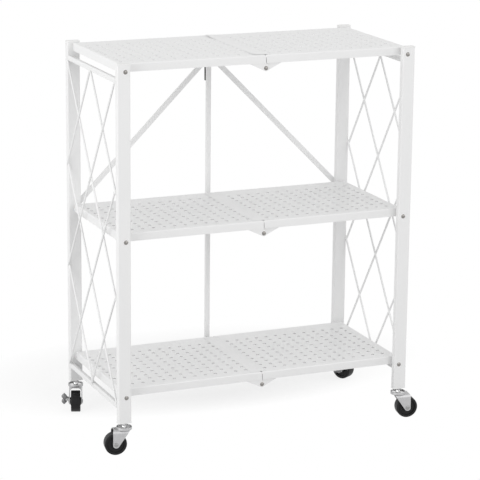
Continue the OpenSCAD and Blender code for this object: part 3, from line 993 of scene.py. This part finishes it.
@dataclass
class RearLinkage:
    """The lift bar, its slider and the two braces behind the rack."""

    bar_round: float = 1.5 * MM
    bar_wall: float = 1.2 * MM
    bar_mouth: float = 12 * MM
    plate: float = 1.5 * MM
    plate_corner: float = 5 * MM
    cheek_gap: float = 6.3 * MM
    plate_edge: float = 0.3 * MM
    block_round: float = 0.8 * MM
    wedge_top: float = 0.62
    wedge_foot: float = 0.5
    groove_pitch: float = 6 * MM
    groove_radius: float = 0.8 * MM
    groove_edge: float = 0.25 * MM

    def build(self) -> None:
        """Model the bar and the slider, and dress what stays."""
        self.build_bar()
        self.build_bracket()
        self.build_block()
        dress_nodes(WHITE_COAT, "left_brace", "right_brace")
        dress_nodes(DARK_RIVET, "left_brace_stud", "right_brace_stud")
        dress_nodes(ZINC, "lift_bar_spacers")

    def build_bar(self) -> None:
        """Lift bar with rolled edges and open ends."""
        low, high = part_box("lift_bar")
        bar = Workpiece.box("rolled_lift_bar", low, high)
        bar.edges(lambda middle, along: abs(along.z) > FACING).bevel(self.bar_round, 4)
        for end in (-1, 1):
            bar.faces(lambda middle, normal: normal.z * end > FACING).inset(self.bar_wall)
            bar.extrude(z=-end * self.bar_mouth)
        bar.smooth().fit(WHITE_COAT, "lift_bar", "lift_bar")

    def build_bracket(self) -> None:
        """Slider bracket: a face plate with round corners and two cheeks beside the bar."""
        low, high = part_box("slider_bracket")
        face = Workpiece.box("pressed_bracket", low, Vector((high.x, low.y + self.plate, high.z)))
        face.edges(lambda middle, along: abs(along.y) > FACING).bevel(self.plate_corner, 5)
        for side in (-1, 1):
            near, far = sorted((side * self.cheek_gap, side * (self.cheek_gap + self.plate)))
            cheek = Workpiece.box("cheek", Vector((near, low.y, low.z)), Vector((far, high.y, high.z)))
            face.combine(Cut.JOIN, cheek)
        face.soften(self.plate_edge).fit(WHITE_COAT, "slider", "slider_bracket")

    def build_block(self) -> None:
        """Wedge-shaped slider block with rounded edges and grip grooves across its sloping back."""
        low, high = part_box("slider_block")
        front, deep, tall = Vector((0, low.y, 0)), high.y - low.y, high.z - low.z
        block = Workpiece.box("grooved_block", low, high)
        block.faces(lambda middle, normal: normal.y > FACING).resize((1, self.wedge_top, 1), front)
        block.faces(lambda middle, normal: normal.z < -FACING).resize((1, self.wedge_foot, 1), front)
        block.edges(lambda middle, along: True).bevel(self.block_round, 4)
        count = int(tall / self.groove_pitch / 2)
        for step in range(count):
            up = (step + 1) * self.groove_pitch
            share = self.wedge_foot + (1 - self.wedge_foot) * up / tall
            y, z = low.y + deep * self.wedge_top * share, low.z + up
            start, end = Vector((low.x - MM, y, z)), Vector((high.x + MM, y, z))
            block.combine(Cut.TAKE_AWAY, Workpiece.rod("groove", self.groove_radius, start, end, 16))
        block.soften(self.groove_edge).fit(BLACK_BLOCK, "slider", "slider_block")


@dataclass
class CasterKit:
    """The casters, modelled once about a stem on Z, with the trail along +X and the brake on the -Y side."""

    wheel_radius: float = 25 * MM
    tread_half: float = 11 * MM
    tread_round: float = 2 * MM
    rim_width: float = 4 * MM
    web_half: float = 7.5 * MM
    hub_half: float = 13.2 * MM
    hub_radius: float = 9.5 * MM
    web_draft: float = 0.95
    hub_draft: float = 0.92
    hub_crown: float = 0.8
    hub_wall: float = 0.7
    moulded_edge: float = 0.7 * MM
    pressed_edge: float = 0.4 * MM
    trail: float = 20 * MM
    axle_radius: float = 4 * MM
    axle_head_radius: float = 5.5 * MM
    peen_radius: float = 4.6 * MM
    axle_head: float = 1.3 * MM
    peen_draft: float = 0.7
    peen_edge: float = 0.25 * MM
    leg_inside: float = 13.5 * MM
    sheet: float = 2 * MM
    bend: float = 9 * MM
    leg_end: float = 7.5 * MM
    lead: float = 12 * MM
    tail: float = 27 * MM
    corner: float = 7 * MM
    crown_low: float = 57 * MM
    crown_top: float = 59.5 * MM
    ring_radius: float = 17.5 * MM
    ring_wall: float = 2.2 * MM
    ring_up: float = 3.6 * MM
    ring_round: float = 0.9 * MM
    kingpin_radius: float = 4 * MM
    kingpin_head: float = 4 * MM
    head_radius: float = 7 * MM
    race_low: float = 59.8 * MM
    race_radius: float = 14.5 * MM
    race_neck: float = 5.5 * MM
    nut_low: float = 65.5 * MM
    nut_width: float = 13 * MM
    nut_height: float = 5.5 * MM
    nut_edge: float = 0.8 * MM
    stem_edge: float = 0.5 * MM
    stem_length: float = 27 * MM
    pin_out: float = 20.8 * MM
    pin_up: float = 6 * MM
    pin_radius: float = 2 * MM
    ear: float = 1.5 * MM
    ear_radius: float = 3.2 * MM
    face_gap: float = 0.2 * MM
    eye_radius: float = 3.5 * MM
    prong_half: float = 9 * MM
    prong: float = 8 * MM
    prong_root: float = 4.6 * MM
    prong_out: float = 6.5 * MM
    prong_up: float = 6.5 * MM
    prong_down: float = 6 * MM
    tip_round: float = 3 * MM
    lever_edge: float = 0.9 * MM
    rib_radius: float = 0.5 * MM
    rib_pitch: float = 2 * MM
    ribs: int = 3
    pin_edge: float = 0.6 * MM

    def at(self, along: float, out: float, up: float) -> Vector:
        """A point by its distance along the trail, out to the brake side, and up."""
        return Vector((along, -out, up))

    @property
    def leg_outside(self) -> float:
        """Distance of a leg's outer face from the wheel's middle plane."""
        return self.leg_inside + self.sheet

    @property
    def pin_height(self) -> float:
        """Height of the brake pin."""
        return self.wheel_radius + self.pin_up

    def build(self) -> None:
        """Model each piece once, and set copies at the corners that have it."""
        shared = {"wheel": (self.wheel(), BLACK_WHEEL), "axle": (self.axle(), AXLE_STEEL)}
        braked = {"brake_lever": (self.lever(), GREY_LEVER), "brake_pin": (self.pin(), ZINC)}
        forks = {False: self.fork(), True: self.braked_fork()}
        stem, race = self.stem(), self.race()
        for corner in Corner:
            place = self.place(corner)
            name = corner.value
            fork = forks[corner.braked].copy(f"{name}_pressed_fork", place)
            fork.fit(ZINC, f"{name}_fork", f"{name}_fork")
            pieces = {**shared, **braked} if corner.braked else shared
            for part, (pattern, finish) in pieces.items():
                body = {"wheel": "wheel", "brake_lever": "brake"}.get(part, "fork")
                twin = pattern.copy(f"{name}_shaped_{part}", place)
                twin.fit(finish, f"{name}_{body}", f"{name}_{part}")
        for hand in Hand:
            corners = [corner for corner in Corner if corner.value.endswith(hand.word)]
            stems, races = ([part.copy("part", self.place(c)) for c in corners] for part in (stem, race))
            node = f"{hand.word}_caster_stems"
            Workpiece.joined(stems, f"{hand.word}_nutted_stems").fit(ZINC, f"{hand.word}_frame", node)
            Workpiece.joined(races, f"{hand.word}_caster_races").fit(BRIGHT_ZINC, f"{hand.word}_frame")
        for pattern in (*forks.values(), stem, race, *(p for p, _ in (*shared.values(), *braked.values()))):
            pattern.discard()

    def place(self, corner: Corner) -> Matrix:
        """Where a corner's caster stands and which way it trails.

        Args:
            corner: the corner.

        Returns:
            The matrix from the pattern to that corner.
        """
        stem = Vector(joint_of(f"{corner.value}_swivel")["pos_m"])
        axle = Vector(joint_of(f"{corner.value}_roll")["axis"])
        heading = math.atan2(axle.x, -axle.y)
        return Matrix.Translation((stem.x, stem.y, 0)) @ Matrix.Rotation(heading, 4, "Z")

    def wheel(self) -> Workpiece:
        """Wheel moulded in one piece, with a round tread, sunk webs and swelling hubs.

        Returns:
            The wheel's pattern.
        """
        middle = self.at(self.trail, 0, self.wheel_radius)
        reach = Vector((0, self.tread_half, 0))
        wheel = Workpiece.rod("wheel", self.wheel_radius, middle - reach, middle + reach, 72)
        wheel.edges(lambda at, along: abs(along.y) < ACROSS).bevel(self.tread_round, 6)
        flat = self.wheel_radius - self.tread_round
        for side in (-1, 1):
            wheel.faces(lambda at, normal: normal.y * side > SQUARE).inset(self.rim_width)
            wheel.extrude(y=side * (self.web_half - self.tread_half))
            inner = (flat - self.rim_width) * self.web_draft
            wheel.resize((self.web_draft, 1, self.web_draft), middle).inset(inner - self.hub_radius - MM)
            rise = side * (self.hub_half - self.web_half)
            for share, draft in ((self.hub_wall, self.hub_draft), (1 - self.hub_wall, self.hub_crown)):
                wheel.extrude(y=rise * share).resize((draft, 1, draft), middle)
        return wheel.soften(self.moulded_edge, 3)

    def axle(self) -> Workpiece:
        """Riveted axle with a swelling head outside each leg.

        Returns:
            The axle's pattern.
        """
        middle = self.at(self.trail, 0, self.wheel_radius)
        reach = Vector((0, self.leg_outside + self.face_gap, 0))
        axle = Workpiece.rod("axle", self.axle_radius, middle - reach, middle + reach)
        swell = self.peen_radius / self.axle_radius
        for side in (-1, 1):
            axle.faces(lambda at, normal: normal.y * side > FACING).extrude()
            axle.resize((swell, 1, swell), middle)
            half = side * self.axle_head / 2
            axle.extrude(y=half).extrude(y=half)
            axle.resize((self.peen_draft, 1, self.peen_draft), middle)
        return axle.soften(self.peen_edge)

    def fork(self) -> Workpiece:
        """Fork pressed from one sheet, with a ringed dish in its crown.

        Returns:
            The fork's pattern.
        """
        bend_y = self.leg_outside - self.sheet / 2
        top = self.crown_top - self.sheet / 2
        start, end = self.at(-self.ring_radius, bend_y, top), self.at(self.tail, -bend_y, top)
        fork = Workpiece.sheet("fork", start, end)
        fork.edges(lambda at, along: abs(at.y) > bend_y - NEAR).extrude(z=-top)
        fork.edges(lambda at, along: abs(at.y) > bend_y - NEAR and at.z > top - NEAR)
        fork.bevel(self.bend, 6).modify("SOLIDIFY", thickness=self.sheet, offset=0)
        fork.combine(Cut.KEEP_SHARED, self.leg_shape())
        rim = self.crown_top + self.ring_up
        ring = Workpiece.rod("ring", self.ring_radius, self.at(0, 0, self.crown_low), self.at(0, 0, rim), 64)
        ring.faces(lambda at, normal: normal.z > FACING).inset(self.ring_wall).extrude(z=-self.ring_up)
        ring.edges(lambda at, along: at.z > rim - NEAR).bevel(self.ring_round, 4)
        fork.combine(Cut.JOIN, ring)
        through = self.leg_outside + MM
        axle = [self.at(self.trail, side * through, self.wheel_radius) for side in (1, -1)]
        fork.combine(Cut.TAKE_AWAY, Workpiece.rod("bore", self.axle_radius, *axle))
        king = self.at(0, 0, self.crown_low - MM), self.at(0, 0, self.crown_top + MM)
        fork.combine(Cut.TAKE_AWAY, Workpiece.rod("bore", self.kingpin_radius, *king))
        return fork.soften(self.pressed_edge)

    def leg_shape(self) -> Workpiece:
        """Solid of the fork's side view, narrowing from the crown to the axle.

        Returns:
            The solid, wider than the fork.
        """
        wide = self.ring_radius + MM
        ends = (
            (self.trail, self.wheel_radius, self.leg_end),
            (self.tail - self.corner, self.crown_top - self.corner, self.corner),
            (MM - self.lead, self.crown_top - MM, MM),
        )
        rods = [
            Workpiece.rod("end", radius, self.at(x, wide, z), self.at(x, -wide, z), 40)
            for x, z, radius in ends
        ]
        return Workpiece.joined(rods, "leg_shape").hull()

    def braked_fork(self) -> Workpiece:
        """Fork with two ears on one leg that hold the brake pin.

        Returns:
            The braked fork's pattern.
        """
        fork = self.fork()
        start = self.axle_head_radius + self.face_gap
        for side in (-1, 1):
            near, far = self.trail + side * start, self.trail + side * (start + self.ear)
            up = self.pin_height
            rods = [
                Workpiece.rod("ear", radius, self.at(near, out, up), self.at(far, out, up), 32)
                for out, radius in ((self.pin_out, self.ear_radius), (self.leg_outside - self.ear, self.ear))
            ]
            fork.combine(Cut.JOIN, Workpiece.joined(rods, "ear").hull())
        return fork.smooth()

    def race(self) -> Workpiece:
        """Flat race in the fork's dish, with a neck up to the lock nut.

        Returns:
            The race's pattern.
        """
        low = self.at(0, 0, self.race_low)
        race = Workpiece.rod("race", self.race_radius, low, low + Vector((0, 0, MM)), 64)
        race.faces(lambda at, normal: normal.z > FACING).inset(self.race_radius - self.race_neck)
        race.extrude(z=self.nut_low - self.race_low - MM)
        return race.soften(self.pressed_edge)

    def stem(self) -> Workpiece:
        """Threaded stem with its lock nut, and the kingpin's head below the fork's crown.

        Returns:
            The stem's pattern.
        """
        nut_top = self.nut_low + self.nut_height
        nut = Workpiece.rod(
            "nut", self.nut_width / math.sqrt(3), self.at(0, 0, self.nut_low), self.at(0, 0, nut_top), 6
        )
        nut.edges(lambda at, along: abs(along.z) < ACROSS).bevel(self.nut_edge, 2)
        shaft = Workpiece.rod(
            "shaft", self.kingpin_radius, self.at(0, 0, nut_top), self.at(0, 0, nut_top + self.stem_length)
        )
        head_top = self.crown_low - self.face_gap
        head_foot = head_top - self.kingpin_head
        head = Workpiece.rod("head", self.head_radius, self.at(0, 0, head_foot), self.at(0, 0, head_top))
        pieces = [nut.smooth(), shaft.soften(self.stem_edge), head.soften(MM, 3)]
        return Workpiece.joined(pieces, "stem")

    def lever(self) -> Workpiece:
        """Fish-tailed brake lever: an eye on the pin, a neck, and two ribbed prongs.

        Returns:
            The lever's pattern.
        """
        eye_half = self.axle_head_radius
        pin = self.at(self.trail, self.pin_out, self.pin_height)
        lever = Workpiece.rod("lever", self.eye_radius, Vector((-eye_half, 0, 0)), Vector((eye_half, 0, 0)))
        for rise in (self.prong_up, -self.prong_down):
            lever.combine(Cut.JOIN, self.prong_blade(rise, eye_half))
        bore = Vector((-self.prong_half, 0, 0)), Vector((self.prong_half, 0, 0))
        lever.combine(Cut.TAKE_AWAY, Workpiece.rod("bore", self.pin_radius, *bore))
        return lever.soften(self.lever_edge, 3).turned(Matrix.Translation(pin))

    def prong_blade(self, rise: float, neck_half: float) -> Workpiece:
        """One prong of the lever about its pin, with a narrow neck and grip ribs near its round tip.

        Args:
            rise: how far it rises from the pin on its way out.
            neck_half: half the neck's width.

        Returns:
            The prong.
        """
        length = math.hypot(self.prong_out, rise) + self.prong / 2
        half = self.prong / 2
        root = Vector((-self.prong_half, self.prong_root, -half))
        blade = Workpiece.box("prong", root, Vector((self.prong_half, length, half)))
        blade.edges(lambda at, along: at.y > length - NEAR and abs(along.z) > FACING).bevel(self.tip_round, 5)
        neck_end = Vector((neck_half, self.prong_root + MM, half))
        blade.combine(Cut.JOIN, Workpiece.box("neck", Vector((-neck_half, 0, -half)), neck_end))
        upper = math.copysign(half, -rise)
        reach = self.prong_half - self.tip_round
        for step in range(self.ribs):
            y = length - (step + 1) * self.rib_pitch
            ends = Vector((-reach, y, upper)), Vector((reach, y, upper))
            blade.combine(Cut.JOIN, Workpiece.rod("rib", self.rib_radius, *ends, 12))
        return blade.turned(Matrix.Rotation(math.atan2(rise, -self.prong_out), 4, "X"))

    def pin(self) -> Workpiece:
        """Brake pin with rounded ends outside the ears.

        Returns:
            The pin's pattern.
        """
        reach = self.axle_head_radius + self.face_gap + self.ear + MM
        middle = self.at(self.trail, self.pin_out, self.pin_height)
        ends = middle - Vector((reach, 0, 0)), middle + Vector((reach, 0, 0))
        return Workpiece.rod("pin", self.pin_radius, *ends, 32).soften(self.pin_edge, 3)


@dataclass(frozen=True)
class Lamp:
    """A square soft light that faces the rack's middle."""

    name: str
    place: tuple[float, float, float]
    size: float
    power: float

    def build(self, target: Vector) -> None:
        """Hang the lamp, turned to a target.

        Args:
            target: the point that it faces.
        """
        data = bpy.data.lights.new(self.name, "AREA")
        data.size = self.size
        data.energy = self.power
        lamp = bpy.data.objects.new(self.name, data)
        lamp.location = self.place
        lamp.rotation_euler = (target - lamp.location).to_track_quat("-Z", "Y").to_euler()
        bpy.context.scene.collection.objects.link(lamp)


@dataclass
class Studio:
    """A plain white floor, soft light and the camera."""

    middle: tuple[float, float, float] = (0.0, 0.0, 0.44)
    floor_size: float = 14.0
    floor_tone: float = 0.6
    floor_white: float = 0.97
    shadow_share: float = 0.34
    shadow_edge: float = 1.6
    shadow_middle: tuple[float, float] = (0.03, 0.36)
    shadow_reach: tuple[float, float] = (0.62, 0.34)
    sky_light: float = 0.7
    camera_place: tuple[float, float, float] = (-1.90645, -4.45554, 1.66019)
    camera_yaw: float = 23.209
    camera_pitch: float = 14.359
    camera_roll: float = 0.566
    focal_pixels: float = 2173.7
    frame_pixels: float = 480.0
    off_centre: tuple[float, float] = (-0.7, -0.7)
    lamps: tuple[Lamp, ...] = (
        Lamp("left", (-3.2, -0.9, 1.1), 3.2, 58.0),
        Lamp("front", (1.1, -3.7, 2.1), 3.0, 34.0),
        Lamp("top", (0.0, -0.2, 3.0), 2.2, 2.5),
        Lamp("right", (3.2, -0.9, 1.2), 2.2, 18.0),
    )

    def build(self) -> None:
        """Set the floor, the sky, the lamps and the camera."""
        bpy.context.scene.view_settings.view_transform = "Standard"
        self.build_floor()
        self.build_sky()
        for lamp in self.lamps:
            lamp.build(Vector(self.middle))
        self.build_camera()

    def seen(self, graph: Graph) -> Socket:
        """A mask that is 1 on rays from the camera, and on those that mirror or glass sends on.

        Args:
            graph: the node tree.

        Returns:
            The mask.
        """
        camera, glossy, through = (
            graph.node("ShaderNodeLightPath", {}, {}, f"Is {kind} Ray")
            for kind in ("Camera", "Glossy", "Transmission")
        )
        return camera | glossy | through

    def build_floor(self) -> None:
        """Pale floor that shows white with the rack's faint shadow."""
        release()
        bpy.ops.mesh.primitive_plane_add(size=self.floor_size)
        floor = bpy.context.object
        floor.name = "studio_floor"
        material = bpy.data.materials.new("pale_floor")
        material.use_nodes = True
        graph = Graph(material.node_tree)
        matt, white = (
            graph.node("ShaderNodeBsdfDiffuse", {}, {"Color": (tone, tone, tone, 1.0)})
            for tone in (self.floor_tone, self.floor_white)
        )
        glow = graph.node("ShaderNodeEmission", {}, {"Color": WHITE, "Strength": 1.0})
        along, back = (
            (graph.axis(axis) - middle) * (1 / reach)
            for axis, middle, reach in zip("XY", self.shadow_middle, self.shadow_reach)
        )
        under = ((self.shadow_edge - (along * along + back * back) * self.shadow_edge) | 0.0) & 1.0
        shown = graph.node("ShaderNodeMixShader", {}, {0: under * self.shadow_share, 1: glow, 2: white})
        floor_shader = graph.node("ShaderNodeMixShader", {}, {0: self.seen(graph), 1: matt, 2: shown})
        graph.node("ShaderNodeOutputMaterial", {}, {"Surface": floor_shader})
        material.cycles.emission_sampling = "NONE"
        floor.data.materials.append(material)

    def build_sky(self) -> None:
        """Even light all round, which looks white."""
        world = bpy.data.worlds.new("studio")
        bpy.context.scene.world = world
        world.use_nodes = True
        graph = Graph(world.node_tree)
        seen = self.seen(graph)
        strength = seen + (1 - seen) * self.sky_light
        sky = graph.node("ShaderNodeBackground", {}, {"Color": WHITE, "Strength": strength})
        graph.node("ShaderNodeOutputWorld", {}, {"Surface": sky})

    def build_camera(self) -> None:
        """The camera, at the picture's angle."""
        data = bpy.data.cameras.new("camera")
        data.lens = data.sensor_width * self.focal_pixels / self.frame_pixels
        data.shift_x = -self.off_centre[0] / self.frame_pixels
        data.shift_y = self.off_centre[1] / self.frame_pixels
        camera = bpy.data.objects.new("camera", data)
        turn = Matrix.Rotation(-math.radians(self.camera_yaw), 4, "Z")
        tilt = Matrix.Rotation(math.radians(90 - self.camera_pitch), 4, "X")
        roll = Matrix.Rotation(math.radians(self.camera_roll), 4, "Z")
        camera.matrix_world = Matrix.Translation(self.camera_place) @ turn @ tilt @ roll
        bpy.context.scene.collection.objects.link(camera)
        bpy.context.scene.camera = camera


def main() -> None:
    """Build the studio and dress the rack, one sub-assembly after another."""
    logging.basicConfig(level=logging.INFO, format="%(name)s: %(message)s")
    Studio().build()
    for hand in Hand:
        EndFrame(hand).build()
    # The top shelf's hole lips keep the plain white coat, without the painted shade of the lower shelves.
    ShelfTier(Tier.TOP, rear_lift=1.9 * MM, front_lift=0.9 * MM, lip_finish_and_shade=WHITE_COAT).build()
    for tier in (Tier.MID, Tier.BOTTOM):
        ShelfTier(tier).build()
    RearLinkage().build()
    CasterKit().build()


if __name__ == "__main__":
    main()
